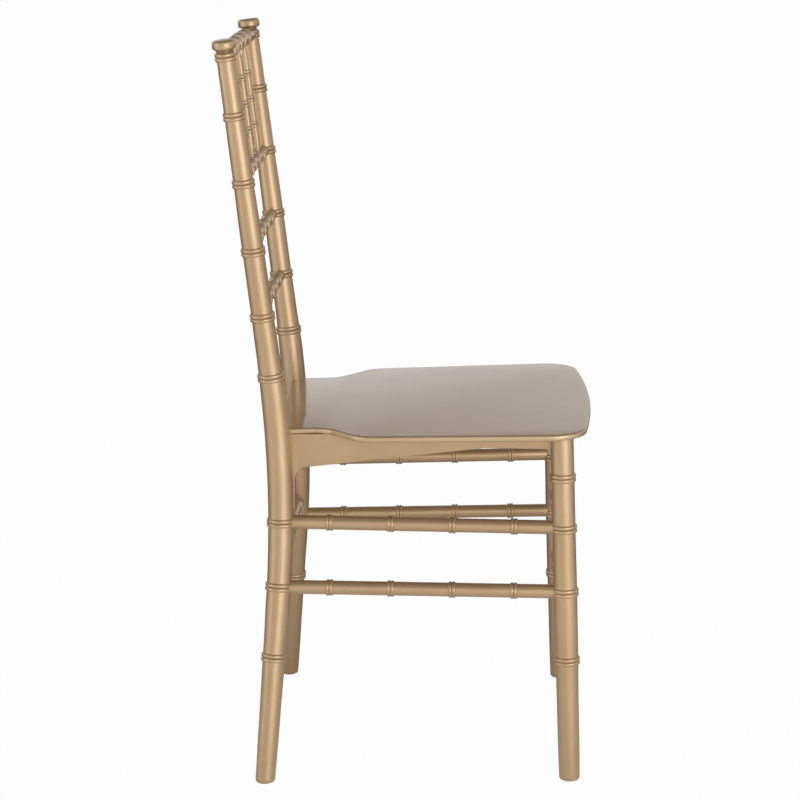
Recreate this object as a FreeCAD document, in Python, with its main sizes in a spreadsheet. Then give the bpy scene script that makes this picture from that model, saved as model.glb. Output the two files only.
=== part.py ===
import FreeCAD, Part
import math
import os

import Sketcher

Vector = FreeCAD.Vector
Rotation = FreeCAD.Rotation
Placement = FreeCAD.Placement

# The chair stands on the floor with its front towards -Y, its height along +Z and the middle of its
# width at X = 0. The sitter's right side is at -X. All sizes are in millimetres and degrees.
SIZES = [
    # Rear posts: where the axis of each one passes the floor, the bend and the top
    ("rear_foot_half_width", 202.0),
    ("rear_foot_depth", 181.4),
    ("bend_height", 370.0),
    ("bend_half_width", 138.0),
    ("bend_depth", 152.6),
    ("top_height", 914.0),
    ("top_half_width", 161.5),
    ("top_depth", 214.4),
    ("bend_radius", 1000.0),
    # Rear posts: round section
    ("post_diameter", 26.5),
    # Rear posts: heights of the ringed collars that carry no rail or stretcher
    ("collar_below_crest", 829.0),
    ("collar_above_seat", 507.0),
    ("post_low_collar", 154.5),
    # Finials on the rear posts
    ("finial_diameter", 28.6),
    ("finial_thickness", 11.0),
    ("finial_edge", 3.0),
    ("finial_neck_diameter", 19.0),
    ("finial_neck_length", 3.6),
    # Front legs
    ("front_foot_half_width", 190.0),
    ("front_foot_depth", -199.9),
    ("front_top_half_width", 171.0),
    ("front_top_depth", -188.4),
    ("leg_diameter", 28.4),
    ("leg_top_collar_drop", 49.2),
    ("leg_low_collar", 154.5),
    # Ringed collars: two ridges side by side, each with a sharp crest
    ("ridge_height", 1.9),
    ("ridge_spacing", 4.6),
    ("ridge_foot", 2.2),
    ("groove_height", 0.3),
    ("collar_sink", 1.0),
    # Stretchers
    ("stretcher_diameter", 15.8),
    ("side_high_height", 322.5),
    ("side_low_height", 242.0),
    ("front_high_height", 272.0),
    ("front_low_height", 184.0),
    ("rear_stretcher_height", 268.0),
    # Rails of the back, bowed to the rear
    ("crest_height", 900.0),
    ("second_rail_height", 747.7),
    ("third_rail_height", 664.2),
    ("fourth_rail_height", 582.7),
    ("rail_bow", 6.0),
    ("crest_diameter", 18.6),
    ("rail_diameter", 14.4),
    # Spindles between the crest and the second rail
    ("spindle_pitch", 61.0),
    ("spindle_diameter", 8.2),
    ("spindle_end_diameter", 5.4),
    ("spindle_end_length", 12.0),
    ("spindle_taper", 4.0),
    # Gap between a rod's hollowed end and the round piece that it meets
    ("joint_clearance", 0.15),
    # Seat board
    ("seat_height", 443.7),
    ("seat_tilt", 1.08),
    ("seat_thickness", 8.0),
    ("seat_edge_chamfer", 2.2),
    ("seat_rear_depth", 164.6),
    ("seat_neck_half_width", 142.5),
    ("seat_neck_depth", 102.6),
    ("seat_shoulder_half_width", 193.0),
    ("seat_shoulder_depth", 58.6),
    ("seat_front_half_width", 206.0),
    ("seat_corner_depth", -213.9),
    ("seat_front_depth", -229.4),
    ("seat_neck_radius", 34.0),
    ("seat_shoulder_radius", 34.0),
    ("seat_corner_radius", 38.0),
    # Aprons under the seat board
    ("apron_thickness", 12.0),
    ("apron_inset", 2.5),
    ("apron_rear_depth", 44.2),
    ("apron_front_depth", 15.2),
    ("apron_slope_end", -94.4),
    ("rear_bracket_width", 13.0),
    ("rear_bracket_tail_gap", 3.6),
    ("tail_proud", 4.5),
    ("front_bracket_width", 8.0),
    ("front_bracket_height", 11.0),
]

doc = FreeCAD.newDocument("chiavari_chair")
sheet = doc.addObject("Spreadsheet::Sheet", "dims")
for row, (name, value) in enumerate(SIZES, start=1):
    sheet.set("A%d" % row, name)
    sheet.set("B%d" % row, str(value))
    sheet.setAlias("B%d" % row, name)
doc.recompute()


class Size:
    """A length as a number, with the text that binds a constraint or a property to the sheet."""

    def __init__(self, number, text):
        self.number = float(number)
        self.text = text

    def __add__(self, other):
        other = as_size(other)
        return Size(self.number + other.number, "(%s + %s)" % (self.text, other.text))

    def __sub__(self, other):
        other = as_size(other)
        return Size(self.number - other.number, "(%s - %s)" % (self.text, other.text))

    def __mul__(self, other):
        other = as_size(other)
        return Size(self.number * other.number, "(%s * %s)" % (self.text, other.text))

    def __truediv__(self, other):
        other = as_size(other)
        return Size(self.number / other.number, "(%s / %s)" % (self.text, other.text))

    def __neg__(self):
        return Size(-self.number, "(0 - %s)" % self.text)


def as_size(value):
    if isinstance(value, Size):
        return value
    return Size(value, "%.9f" % value)


def size(name):
    return Size(sheet.get(name), "dims.%s" % name)


def amount(name):
    return float(sheet.get(name))


# Sketches, revolved bodies and padded boards

def origin_plane(body, role):
    for feature in body.Origin.OriginFeatures:
        if feature.Role == role:
            return feature
    raise ValueError("no origin plane called " + role)


def new_sketch(body, name, role, offset=None):
    sketch = body.newObject("Sketcher::SketchObject", name)
    sketch.AttachmentSupport = [(origin_plane(body, role), "")]
    sketch.MapMode = "FlatFace"
    if offset is not None:
        sketch.AttachmentOffset = offset
    return sketch


def hold_distance(sketch, kind, edge, point, distance):
    """Holds one coordinate of a point at a bound distance from the sketch's origin."""
    if distance.text == "0":
        axis = -2 if kind == "DistanceX" else -1
        sketch.addConstraint(Sketcher.Constraint("PointOnObject", edge, point, axis))
        return
    index = sketch.addConstraint(Sketcher.Constraint(kind, edge, point, distance.number))
    label = "%s%d_%d" % ("across" if kind == "DistanceX" else "along", edge, point)
    sketch.renameConstraint(index, label)
    sketch.setExpression("Constraints.%s" % label, distance.text)


ZERO = Size(0.0, "0")


def draw_outline(sketch, corners):
    """Draws a closed outline of straight edges, with every corner held by bound distances."""
    count = len(corners)
    for i in range(count):
        start = corners[i]
        end = corners[(i + 1) % count]
        line = Part.LineSegment(
            Vector(start[0].number, start[1].number, 0),
            Vector(end[0].number, end[1].number, 0),
        )
        sketch.addGeometry(line, False)
    for i in range(count):
        sketch.addConstraint(Sketcher.Constraint("Coincident", i, 2, (i + 1) % count, 1))
    for i, (across, along) in enumerate(corners):
        hold_distance(sketch, "DistanceX", i, 1, across)
        hold_distance(sketch, "DistanceY", i, 1, along)


def turn(body, name, sketch, angle=360.0):
    """Turns a sketch about its own upright axis."""
    feature = body.newObject("PartDesign::Revolution", name)
    feature.Profile = sketch
    feature.ReferenceAxis = (sketch, ["V_Axis"])
    feature.Angle = angle
    return feature


def make_collar(name, radius, place):
    """A ring of two ridges round a shaft; its flanks run on below the shaft's surface."""
    body = doc.addObject("PartDesign::Body", name)
    sketch = new_sketch(body, name + "_outline", "XZ_Plane")
    sink = size("collar_sink")
    inner = radius - sink
    crest = radius + size("ridge_height")
    middle = size("ridge_spacing") / 2
    reach = middle + size("ridge_foot") * (size("ridge_height") + sink) / size("ridge_height")
    core = inner - sink
    draw_outline(sketch, [
        (core, -reach), (inner, -reach), (crest, -middle), (radius + size("groove_height"), ZERO),
        (crest, middle), (inner, reach), (core, reach),
    ])
    turn(body, name + "_turned", sketch)
    body.Placement = place
    return body


def collar_half():
    """Half the length of shaft that a collar covers, with its sunk part."""
    foot = size("ridge_foot") * (size("ridge_height") + size("collar_sink")) / size("ridge_height")
    return size("ridge_spacing") / 2 + foot


def place_along(body, start, end):
    direction = end - start
    body.Placement = Placement(start, Rotation(Vector(0, 0, 1), direction))


# Axis of a right rear post: straight up from the foot, a bend, then straight up to the top

foot = Vector(-amount("rear_foot_half_width"), amount("rear_foot_depth"), 0)
knee = Vector(-amount("bend_half_width"), amount("bend_depth"), amount("bend_height"))
crown = Vector(-amount("top_half_width"), amount("top_depth"), amount("top_height"))
low_run = (knee - foot).Length
low_axis = (knee - foot).normalize()
high_axis = (crown - knee).normalize()
bend_angle = low_axis.getAngle(high_axis)
bend_radius = amount("bend_radius")
bend_reach = bend_radius * math.tan(bend_angle / 2)
lean_axis = (high_axis - low_axis * high_axis.dot(low_axis)).normalize()
post_frame = Placement(foot, Rotation(lean_axis, low_axis.cross(lean_axis), low_axis, "ZXY"))


def post_station(height):
    """Position and lean of the post's axis in its own plane, where it passes a height."""
    low_limit = low_run - bend_reach
    if height <= low_limit * low_axis.z:
        return 0.0, height / low_axis.z, 0.0
    turned = 0.0
    step = bend_angle
    for _ in range(50):
        step /= 2
        if bend_point(turned + step).z < height:
            turned += step
    if turned < bend_angle * 0.999:
        across = bend_radius * (1 - math.cos(turned))
        along = low_limit + bend_radius * math.sin(turned)
        return across, along, turned
    beyond = (height - knee.z) / high_axis.z
    across = beyond * math.sin(bend_angle)
    along = low_run + beyond * math.cos(bend_angle)
    return across, along, bend_angle


def bend_point(turned):
    across = bend_radius * (1 - math.cos(turned))
    along = low_run - bend_reach + bend_radius * math.sin(turned)
    return foot + lean_axis * across + low_axis * along


def post_point(height):
    """Point of the right post's axis at a height."""
    across, along, _ = post_station(height)
    return foot + lean_axis * across + low_axis * along


# Axis of a right front leg

leg_foot = Vector(-amount("front_foot_half_width"), amount("front_foot_depth"), 0)
leg_top = Vector(-amount("front_top_half_width"), amount("front_top_depth"), amount("seat_height"))
leg_axis = (leg_top - leg_foot).normalize()


def leg_point(height):
    return leg_foot + leg_axis * (height / leg_axis.z)


def mirrored_point(point):
    return Vector(-point.x, point.y, point.z)


# Ringed collars stand at these heights

POST_COLLARS = [
    "post_low_collar", "side_low_height", "side_high_height", "collar_above_seat",
    "fourth_rail_height", "third_rail_height", "second_rail_height", "collar_below_crest",
    "crest_height",
]
LEG_COLLARS = ["leg_low_collar", "side_low_height", "side_high_height"]

# Each bend is made of short straight runs with mitred joints, whose corners lie on the true arc
POST_BEND_RUNS = 5
RAIL_BOW_RUNS = 4


def fuse_tools(name, tools):
    joined = doc.addObject("Part::MultiFuse", name)
    joined.Shapes = tools
    return joined


def mitred_rod(name, corners, radius):
    """A round rod whose axis runs straight from corner to corner, mitred where it turns."""
    axis = doc.addObject("Part::Polygon", name + "_axis")
    axis.Nodes = corners
    axis.Close = False
    section = doc.addObject("Part::Circle", name + "_section")
    section.Radius = radius.number
    section.setExpression("Radius", radius.text)
    section.Placement = Placement(corners[0], Rotation(Vector(0, 0, 1), corners[1] - corners[0]))
    doc.recompute()
    rod = doc.addObject("Part::Sweep", name)
    rod.Sections = [section]
    rod.Spine = (axis, ["Edge%d" % (i + 1) for i in range(len(corners) - 1)])
    rod.Solid = True
    rod.Transition = "Right corner"
    return rod


# Right rear post: a straight lower run, a bend, a straight upper run, and a turned finial

def make_post_shaft(name, extra):
    """The bent shaft with its finial; extra widens it all round, to hollow the ends of rods."""
    full = size("post_diameter") / 2 + extra
    crest = (size("crest_height") - size("bend_height")) / high_axis.z
    neck_start = crest + collar_half()
    corners = [foot - low_axis * full.number]
    corners += [bend_point(bend_angle * i / POST_BEND_RUNS) for i in range(POST_BEND_RUNS + 1)]
    corners.append(knee + high_axis * neck_start.number)
    rod = mitred_rod(name + "_rod", corners, full)

    neck = size("finial_neck_diameter") / 2 + extra
    disc = size("finial_diameter") / 2 + extra
    edge = size("finial_edge")
    neck_end = neck_start + size("finial_neck_length")
    disc_end = neck_end + size("finial_thickness")
    root = neck_start - size("finial_neck_length")
    finial = doc.addObject("PartDesign::Body", name + "_finial")
    outline = new_sketch(finial, name + "_finial_outline", "XZ_Plane")
    draw_outline(outline, [
        (ZERO, root), (neck, root), (neck, neck_end),
        (disc, neck_end), (disc, disc_end - edge), (disc - edge, disc_end), (ZERO, disc_end),
    ])
    turn(finial, name + "_finial_turned", outline)
    finial.Placement = Placement(knee, Rotation(Vector(0, 0, 1), high_axis))
    return fuse_tools(name, [rod, finial])


def post_collar_place(height):
    across, along, lean = post_station(height)
    local = Placement(Vector(across, 0, along), Rotation(Vector(0, 1, 0), math.degrees(lean)))
    return post_frame.multiply(local)


def floor_block():
    block = doc.addObject("Part::Box", "floor_block")
    block.Length = 600
    block.Width = 600
    block.Height = 40
    block.Placement = Placement(Vector(-300, -300, -40), Rotation())
    return block


# Right front leg: a straight round shaft, cut level at the floor and under the seat

def make_leg_shaft(name, extra):
    shaft = doc.addObject("Part::Cylinder", name)
    shaft.Radius = amount("leg_diameter") / 2 + extra.number
    shaft.setExpression("Radius", "dims.leg_diameter / 2 + " + extra.text)
    below = amount("leg_diameter")
    shaft.Height = (leg_top - leg_foot).Length + 2 * below
    shaft.Placement = Placement(leg_foot - leg_axis * below, Rotation(Vector(0, 0, 1), leg_axis))
    return shaft


def leg_collar_place(height):
    return Placement(leg_point(height), Rotation(Vector(0, 0, 1), leg_axis))


# Seat board: rear corners let round the posts, a neck, shoulders, and a bowed front edge

def seat_placement(drop=0.0):
    tilt = Rotation(Vector(1, 0, 0), -amount("seat_tilt"))
    base = Vector(0, 0, amount("seat_height")) - tilt.multVec(Vector(0, 0, drop))
    return Placement(base, tilt)


def make_seat_blank():
    body = doc.addObject("PartDesign::Body", "seat_blank")
    sketch = new_sketch(body, "seat_outline", "XY_Plane")
    half = [
        (size("seat_front_half_width"), size("seat_corner_depth")),
        (size("seat_shoulder_half_width"), size("seat_shoulder_depth")),
        (size("seat_neck_half_width"), size("seat_neck_depth")),
        (size("seat_neck_half_width"), size("seat_rear_depth")),
    ]
    corners = half + [(-x, y) for x, y in reversed(half)]
    count = len(corners)
    for i in range(count - 1):
        start, end = corners[i], corners[i + 1]
        line = Part.LineSegment(Vector(start[0].number, start[1].number, 0),
                                Vector(end[0].number, end[1].number, 0))
        sketch.addGeometry(line, False)
    first, last = corners[0], corners[-1]
    bow = Part.Arc(Vector(last[0].number, last[1].number, 0),
                   Vector(0, amount("seat_front_depth"), 0),
                   Vector(first[0].number, first[1].number, 0))
    front = sketch.addGeometry(bow, False)
    for i in range(count - 2):
        sketch.addConstraint(Sketcher.Constraint("Coincident", i, 2, i + 1, 1))
    sketch.addConstraint(Sketcher.Constraint("Coincident", count - 2, 2, front, 1))
    sketch.addConstraint(Sketcher.Constraint("Coincident", front, 2, 0, 1))
    for i, (across, along) in enumerate(corners[:-1]):
        hold_distance(sketch, "DistanceX", i, 1, across)
        hold_distance(sketch, "DistanceY", i, 1, along)
    hold_distance(sketch, "DistanceX", count - 2, 2, last[0])
    hold_distance(sketch, "DistanceY", count - 2, 2, last[1])
    half_chord = size("seat_front_half_width")
    rise = size("seat_corner_depth") - size("seat_front_depth")
    radius = (half_chord * half_chord + rise * rise) / (rise * 2)
    index = sketch.addConstraint(Sketcher.Constraint("Radius", front, radius.number))
    sketch.renameConstraint(index, "front_bow")
    sketch.setExpression("Constraints.front_bow", radius.text)
    pad = body.newObject("PartDesign::Pad", "seat_pad")
    pad.Profile = sketch
    pad.Length = amount("seat_thickness")
    pad.setExpression("Length", "dims.seat_thickness")
    pad.Reversed = True
    doc.recompute()

    rounding = [
        ("seat_neck_radius", "seat_neck_half_width", "seat_neck_depth"),
        ("seat_shoulder_radius", "seat_shoulder_half_width", "seat_shoulder_depth"),
        ("seat_corner_radius", "seat_front_half_width", "seat_corner_depth"),
    ]
    base = pad
    for radius_name, across, along in rounding:
        names = upright_edges(base.Shape, amount(across), amount(along))
        fillet = body.newObject("PartDesign::Fillet", radius_name.replace("_radius", "_rounding"))
        fillet.Base = (base, names)
        fillet.Radius = amount(radius_name)
        fillet.setExpression("Radius", "dims." + radius_name)
        doc.recompute()
        base = fillet
    rim = body.newObject("PartDesign::Chamfer", "seat_rim")
    rim.Base = (base, flat_faces(base.Shape))
    rim.Size = amount("seat_edge_chamfer")
    rim.setExpression("Size", "dims.seat_edge_chamfer")
    doc.recompute()
    body.Placement = seat_placement()
    return body


def upright_edges(shape, across, along):
    """Names of the upright edges at a corner and at its mirror image."""
    names = []
    for i, edge in enumerate(shape.Edges, start=1):
        ends = [vertex.Point for vertex in edge.Vertexes]
        if len(ends) != 2 or abs(ends[0].z - ends[1].z) < 1.0:
            continue
        if all(abs(abs(p.x) - across) < 0.01 and abs(p.y - along) < 0.01 for p in ends):
            names.append("Edge%d" % i)
    return names


def flat_faces(shape):
    """Names of the level top and bottom faces."""
    names = []
    for i, face in enumerate(shape.Faces, start=1):
        if face.BoundBox.ZLength < 0.001:
            names.append("Face%d" % i)
    return names


# Aprons: upright boards whose lower edge is cut to a curve, coped to the round posts and legs

def board_body(name, corners, start, end, thickness_name):
    """A board on the line from start to end, its thickness to the left of that line."""
    body = doc.addObject("PartDesign::Body", name)
    sketch = new_sketch(body, name + "_outline", "XZ_Plane")
    draw_outline(sketch, corners)
    pad = body.newObject("PartDesign::Pad", name + "_pad")
    pad.Profile = sketch
    pad.Length = amount(thickness_name)
    pad.setExpression("Length", "dims." + thickness_name)
    pad.Reversed = True
    direction = Vector(end.x - start.x, end.y - start.y, 0)
    body.Placement = Placement(Vector(start.x, start.y, 0), Rotation(Vector(1, 0, 0), direction))
    return body


def make_side_apron_blank():
    inset = amount("apron_inset")
    underside = size("seat_height") - size("seat_thickness")
    front_height = underside - size("apron_front_depth")
    rear_height = underside - size("apron_rear_depth")
    tail_height = size("side_high_height") + size("stretcher_diameter") / 2 + size("rear_bracket_tail_gap")
    level = front_height.number
    rear = post_point(level)
    front = leg_point(level)
    start = Vector(rear.x + inset, rear.y, 0)
    end = Vector(front.x + inset, front.y, 0)
    length = (end - start).Length
    per_depth = length / (start.y - end.y)
    crown_height = size("seat_height")
    tail = as_size((start.y - post_point(tail_height.number).y) * per_depth)
    tail = tail + size("post_diameter") / 2 + size("tail_proud")
    slope_end = as_size((start.y - amount("apron_slope_end")) * per_depth)
    leg_face = as_size(length) - size("leg_diameter") / 2
    corners = [
        (ZERO, crown_height), (ZERO, tail_height), (tail, tail_height),
        (tail, rear_height), (slope_end, front_height),
        (leg_face, front_height), (leg_face, front_height - size("front_bracket_height")),
        (as_size(length), front_height - size("front_bracket_height")),
        (as_size(length), crown_height),
    ]
    body = board_body("side_apron_blank", corners, start, end, "apron_thickness")
    doc.recompute()
    round_inner_corner(body, "rear_bracket", tail.number, rear_height.number, "rear_bracket_width")
    round_inner_corner(body, "front_bracket", leg_face.number, front_height.number, "front_bracket_width")
    return body


def round_inner_corner(body, name, across, height, radius_name):
    base = body.Tip
    names = []
    for i, edge in enumerate(base.Shape.Edges, start=1):
        ends = [vertex.Point for vertex in edge.Vertexes]
        if all(abs(p.x - across) < 0.01 and abs(p.z - height) < 0.01 for p in ends):
            names.append("Edge%d" % i)
    fillet = body.newObject("PartDesign::Fillet", name)
    fillet.Base = (base, names)
    fillet.Radius = amount(radius_name)
    fillet.setExpression("Radius", "dims." + radius_name)
    doc.recompute()


def make_cross_apron_blank(name, point_at, depth_name):
    """A straight apron between the two legs or the two posts, its outer face at the inset line."""
    lower_edge = size("seat_height") - size("seat_thickness") - size(depth_name)
    point = point_at(lower_edge.number)
    half = abs(point.x) - amount("apron_inset")
    corners = [
        (ZERO, lower_edge), (as_size(2 * half), lower_edge),
        (as_size(2 * half), size("seat_height")), (ZERO, size("seat_height")),
    ]
    side = 1 if point.y > 0 else -1
    depth = point.y - side * amount("apron_inset")
    start = Vector(side * half, depth, 0)
    return board_body(name, corners, start, Vector(-start.x, depth, 0), "apron_thickness")


# Rods: each one runs from axis to axis, and its ends are hollowed to the round pieces that it meets

def round_rod(name, start, end, diameter_name, extra=ZERO):
    rod = doc.addObject("Part::Cylinder", name)
    rod.Radius = amount(diameter_name) / 2 + extra.number
    rod.setExpression("Radius", "dims.%s / 2 + %s" % (diameter_name, extra.text))
    rod.Height = (end - start).Length
    rod.Placement = Placement(start, Rotation(Vector(0, 0, 1), end - start))
    return rod


def cut(name, base, tool):
    result = doc.addObject("Part::Cut", name)
    result.Base = base
    result.Tool = tool
    result.Label = name
    return result


# Rails of the back: each one is a length of a large ring, bowed to the rear

def rail_ring(height_name):
    """Centre of a rail's bow, its radius, and the angle to each post's axis."""
    point = post_point(amount(height_name))
    half = abs(point.x)
    bow = amount("rail_bow")
    radius = (half * half + bow * bow) / (2 * bow)
    centre = Vector(0, point.y + bow - radius, point.z)
    return centre, radius, math.asin(half / radius)


def bowed_rail(name, height_name, diameter_name, extra=ZERO):
    centre, ring, reach = rail_ring(height_name)
    corners = []
    for i in range(RAIL_BOW_RUNS + 1):
        turned = reach * (2.0 * i / RAIL_BOW_RUNS - 1)
        corners.append(centre + Vector(ring * math.sin(turned), ring * math.cos(turned), 0))
    return mitred_rod(name, corners, size(diameter_name) / 2 + extra)


def rail_point(height_name, across):
    centre, ring, _ = rail_ring(height_name)
    return Vector(across, centre.y + math.sqrt(ring * ring - across * across), centre.z)


# Spindles: thin turned rods with narrower ends

def make_spindle(name, across):
    low = rail_point("second_rail_height", across)
    high = rail_point("crest_height", across)
    length = as_size((high - low).Length)
    low_face = size("rail_diameter") / 2 + size("spindle_end_length")
    high_face = length - size("crest_diameter") / 2 - size("spindle_end_length")
    tip = size("spindle_end_diameter") / 2
    shaft = size("spindle_diameter") / 2
    taper = size("spindle_taper")
    body = doc.addObject("PartDesign::Body", name + "_blank")
    sketch = new_sketch(body, name + "_outline", "XZ_Plane")
    draw_outline(sketch, [
        (ZERO, ZERO), (tip, ZERO), (tip, low_face), (shaft, low_face + taper),
        (shaft, high_face - taper), (tip, high_face), (tip, length), (ZERO, length),
    ])
    turn(body, name + "_turned", sketch)
    place_along(body, low, high)
    return body


def mirror(name, source):
    copy = doc.addObject("Part::Mirroring", name)
    copy.Source = source
    copy.Normal = Vector(1, 0, 0)
    copy.Base = Vector(0, 0, 0)
    copy.Label = name
    return copy


# Shafts, and the same shafts widened by the joint's clearance

clearance = size("joint_clearance")
post_shaft = make_post_shaft("post_shaft", ZERO)
post_room = make_post_shaft("post_room", clearance)
leg_shaft = make_leg_shaft("leg_shaft", ZERO)
leg_room = make_leg_shaft("leg_room", clearance)
post_rooms = [post_room, mirror("left_post_room", post_room)]
leg_rooms = [leg_room, mirror("left_leg_room", leg_room)]
floor = floor_block()

# The room that the seat board takes, from its underside up
seat_room = doc.addObject("Part::Box", "seat_room")
seat_room.Length = 700
seat_room.Width = 700
seat_room.Height = 80
room_place = seat_placement(amount("seat_thickness"))
seat_room.Placement = Placement(
    room_place.Base + room_place.Rotation.multVec(Vector(-350, -350, 0)), room_place.Rotation)

# Stretchers, and widened copies that let the collars round them
at_post = []
at_leg = []
stretchers = {}
for label, height_name in (("upper", "side_high_height"), ("lower", "side_low_height")):
    rear = post_point(amount(height_name))
    front = leg_point(amount(height_name))
    name = "right_%s_side_stretcher" % label
    rod = round_rod(name + "_rod", rear, front, "stretcher_diameter")
    stretchers[name] = cut(name, rod, fuse_tools(name + "_ends", [post_room, leg_room]))
    wide = round_rod(name + "_room", rear, front, "stretcher_diameter", clearance)
    at_post.append(wide)
    at_leg.append(wide)

cross = [
    ("upper_front_stretcher", leg_point(amount("front_high_height")), leg_rooms),
    ("lower_front_stretcher", leg_point(amount("front_low_height")), leg_rooms),
    ("rear_stretcher", post_point(amount("rear_stretcher_height")), post_rooms),
]
for name, point, rooms in cross:
    rod = round_rod(name + "_rod", point, mirrored_point(point), "stretcher_diameter")
    stretchers[name] = cut(name, rod, fuse_tools(name + "_ends", rooms))

rails = {}
rail_rooms = {}
for name, height_name, diameter_name in (
        ("crest_rail", "crest_height", "crest_diameter"),
        ("second_back_rail", "second_rail_height", "rail_diameter"),
        ("third_back_rail", "third_rail_height", "rail_diameter"),
        ("fourth_back_rail", "fourth_rail_height", "rail_diameter")):
    rod = bowed_rail(name + "_rod", height_name, diameter_name)
    rails[name] = cut(name, rod, fuse_tools(name + "_ends", post_rooms))
    rail_rooms[name] = bowed_rail(name + "_room", height_name, diameter_name, clearance)
    at_post.append(rail_rooms[name])

# Spindles, numbered from the sitter's right
spindles = []
spindle_ends = [rail_rooms["crest_rail"], rail_rooms["second_back_rail"]]
for i in range(4):
    name = "spindle_%d" % (i + 1)
    blank = make_spindle(name, amount("spindle_pitch") * (i - 1.5))
    spindles.append(cut(name, blank, fuse_tools(name + "_ends", spindle_ends)))

# Collars, open where a stretcher or a rail passes through to the shaft
post_radius = size("post_diameter") / 2
leg_radius = size("leg_diameter") / 2
post_collars = [make_collar("post_collar_at_" + name, post_radius, post_collar_place(amount(name)))
                for name in POST_COLLARS]
leg_collars = [make_collar("leg_collar_at_" + name, leg_radius, leg_collar_place(amount(name)))
               for name in LEG_COLLARS]
leg_top_height = amount("seat_height") - amount("seat_thickness") - amount("leg_top_collar_drop")
leg_collars.append(make_collar("leg_collar_under_seat", leg_radius, leg_collar_place(leg_top_height)))
open_post_collars = cut("open_post_collars", fuse_tools("post_collars", post_collars),
                        fuse_tools("rods_at_post", at_post))
open_leg_collars = cut("open_leg_collars", fuse_tools("leg_collars", leg_collars),
                       fuse_tools("rods_at_leg", at_leg))
right_post = cut("right_rear_post", fuse_tools("post_ringed", [post_shaft, open_post_collars]), floor)
leg_ends = fuse_tools("leg_ends", [floor, seat_room])
right_leg = cut("right_front_leg", fuse_tools("leg_ringed", [leg_shaft, open_leg_collars]), leg_ends)

# Seat board and aprons
seat = cut("seat_panel", make_seat_blank(), fuse_tools("post_pair", post_rooms))
side_blank = make_side_apron_blank()
front_blank = make_cross_apron_blank("front_apron_blank", leg_point, "apron_front_depth")
rear_blank = make_cross_apron_blank("rear_apron_blank", post_point, "apron_rear_depth")
side_tools = fuse_tools("side_apron_ends", [post_room, leg_room, front_blank, rear_blank, seat_room])
right_apron = cut("right_side_apron", side_blank, side_tools)
front_apron = cut("front_apron", front_blank, fuse_tools("front_apron_ends", leg_rooms + [seat_room]))
rear_apron = cut("rear_apron", rear_blank, fuse_tools("rear_apron_ends", post_rooms + [seat_room]))

# The finished pieces
right_upper = stretchers["right_upper_side_stretcher"]
right_lower = stretchers["right_lower_side_stretcher"]
parts = [
    right_post, mirror("left_rear_post", right_post),
    right_leg, mirror("left_front_leg", right_leg),
    seat, right_apron, mirror("left_side_apron", right_apron), front_apron, rear_apron,
    right_upper, right_lower,
    mirror("left_upper_side_stretcher", right_upper),
    mirror("left_lower_side_stretcher", right_lower),
    stretchers["upper_front_stretcher"], stretchers["lower_front_stretcher"],
    stretchers["rear_stretcher"],
]
parts += list(rails.values()) + spindles
doc.recompute()

for item in doc.Objects:
    if "Invalid" in item.State or "Error" in item.State:
        raise RuntimeError("%s failed: %s" % (item.Label, item.State))
for item in parts:
    shape = item.Shape
    if shape.isNull() or not shape.isValid() or len(shape.Solids) != 1:
        raise RuntimeError("%s has no single sound solid (%d)" % (item.Label, len(shape.Solids)))

os.makedirs("parts", exist_ok=True)
for item in parts:
    item.Shape.exportStep("parts/%s.step" % item.Label)
    box = item.Shape.BoundBox
    print("%-28s %9.0f mm3  x %7.1f %7.1f  y %7.1f %7.1f  z %6.1f %6.1f" % (
        item.Label, item.Shape.Volume, box.XMin, box.XMax, box.YMin, box.YMax, box.ZMin, box.ZMax))
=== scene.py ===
"""A gold chiavari chair: bamboo-ringed posts, rails, stretchers and spindles round a flat shaped seat.

The chair stands on the floor with its front towards -Y and the sitter's right side towards -X. Sizes are in
millimetres and become metres only where a mesh, a lamp or the camera is placed.
"""

import logging
import math
from dataclasses import dataclass, field
from enum import Enum
from typing import Callable, Iterable, Protocol

import bmesh
import bpy
from mathutils import Matrix, Vector


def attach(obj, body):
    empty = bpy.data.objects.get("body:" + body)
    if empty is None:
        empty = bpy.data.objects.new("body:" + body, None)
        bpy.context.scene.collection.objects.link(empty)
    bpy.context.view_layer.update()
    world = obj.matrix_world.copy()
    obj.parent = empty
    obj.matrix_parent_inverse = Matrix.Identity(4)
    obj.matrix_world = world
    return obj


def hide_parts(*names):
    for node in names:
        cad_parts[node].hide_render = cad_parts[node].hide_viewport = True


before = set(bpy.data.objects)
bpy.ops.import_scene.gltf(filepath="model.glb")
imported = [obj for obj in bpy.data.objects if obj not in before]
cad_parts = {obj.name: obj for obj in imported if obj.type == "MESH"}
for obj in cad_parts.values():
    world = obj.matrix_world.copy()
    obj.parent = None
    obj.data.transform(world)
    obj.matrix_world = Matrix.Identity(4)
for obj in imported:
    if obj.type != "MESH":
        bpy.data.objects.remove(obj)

MM = 0.001
SAME_PLACE = 1e-5   # Metres within which two places count as one
SAME_LINE = 1e-6    # The same, where stations lie close together
SEARCH_STEPS = 40   # Halvings that find a place on a bent line by its height
NEARLY_ACROSS = 0.9  # Share of X in a direction that counts as running across the chair
TOO_SMALL = 1e-7    # A turn or a change of radius that isn't worth an operator
LOG = logging.getLogger("chiavari_chair")
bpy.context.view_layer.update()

Station = tuple[float, float]


# Shared lines of the chair

class Line(Protocol):
    """The axis of a round piece: where it runs in its own plane, and how that plane lies in the chair."""

    length: float

    def at(self, distance: float) -> tuple[float, float, float]:
        """Across, along and lean at a distance from the line's start."""

    def frame(self) -> Matrix:
        """Matrix from the line's own plane to the chair, in millimetres."""


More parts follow.
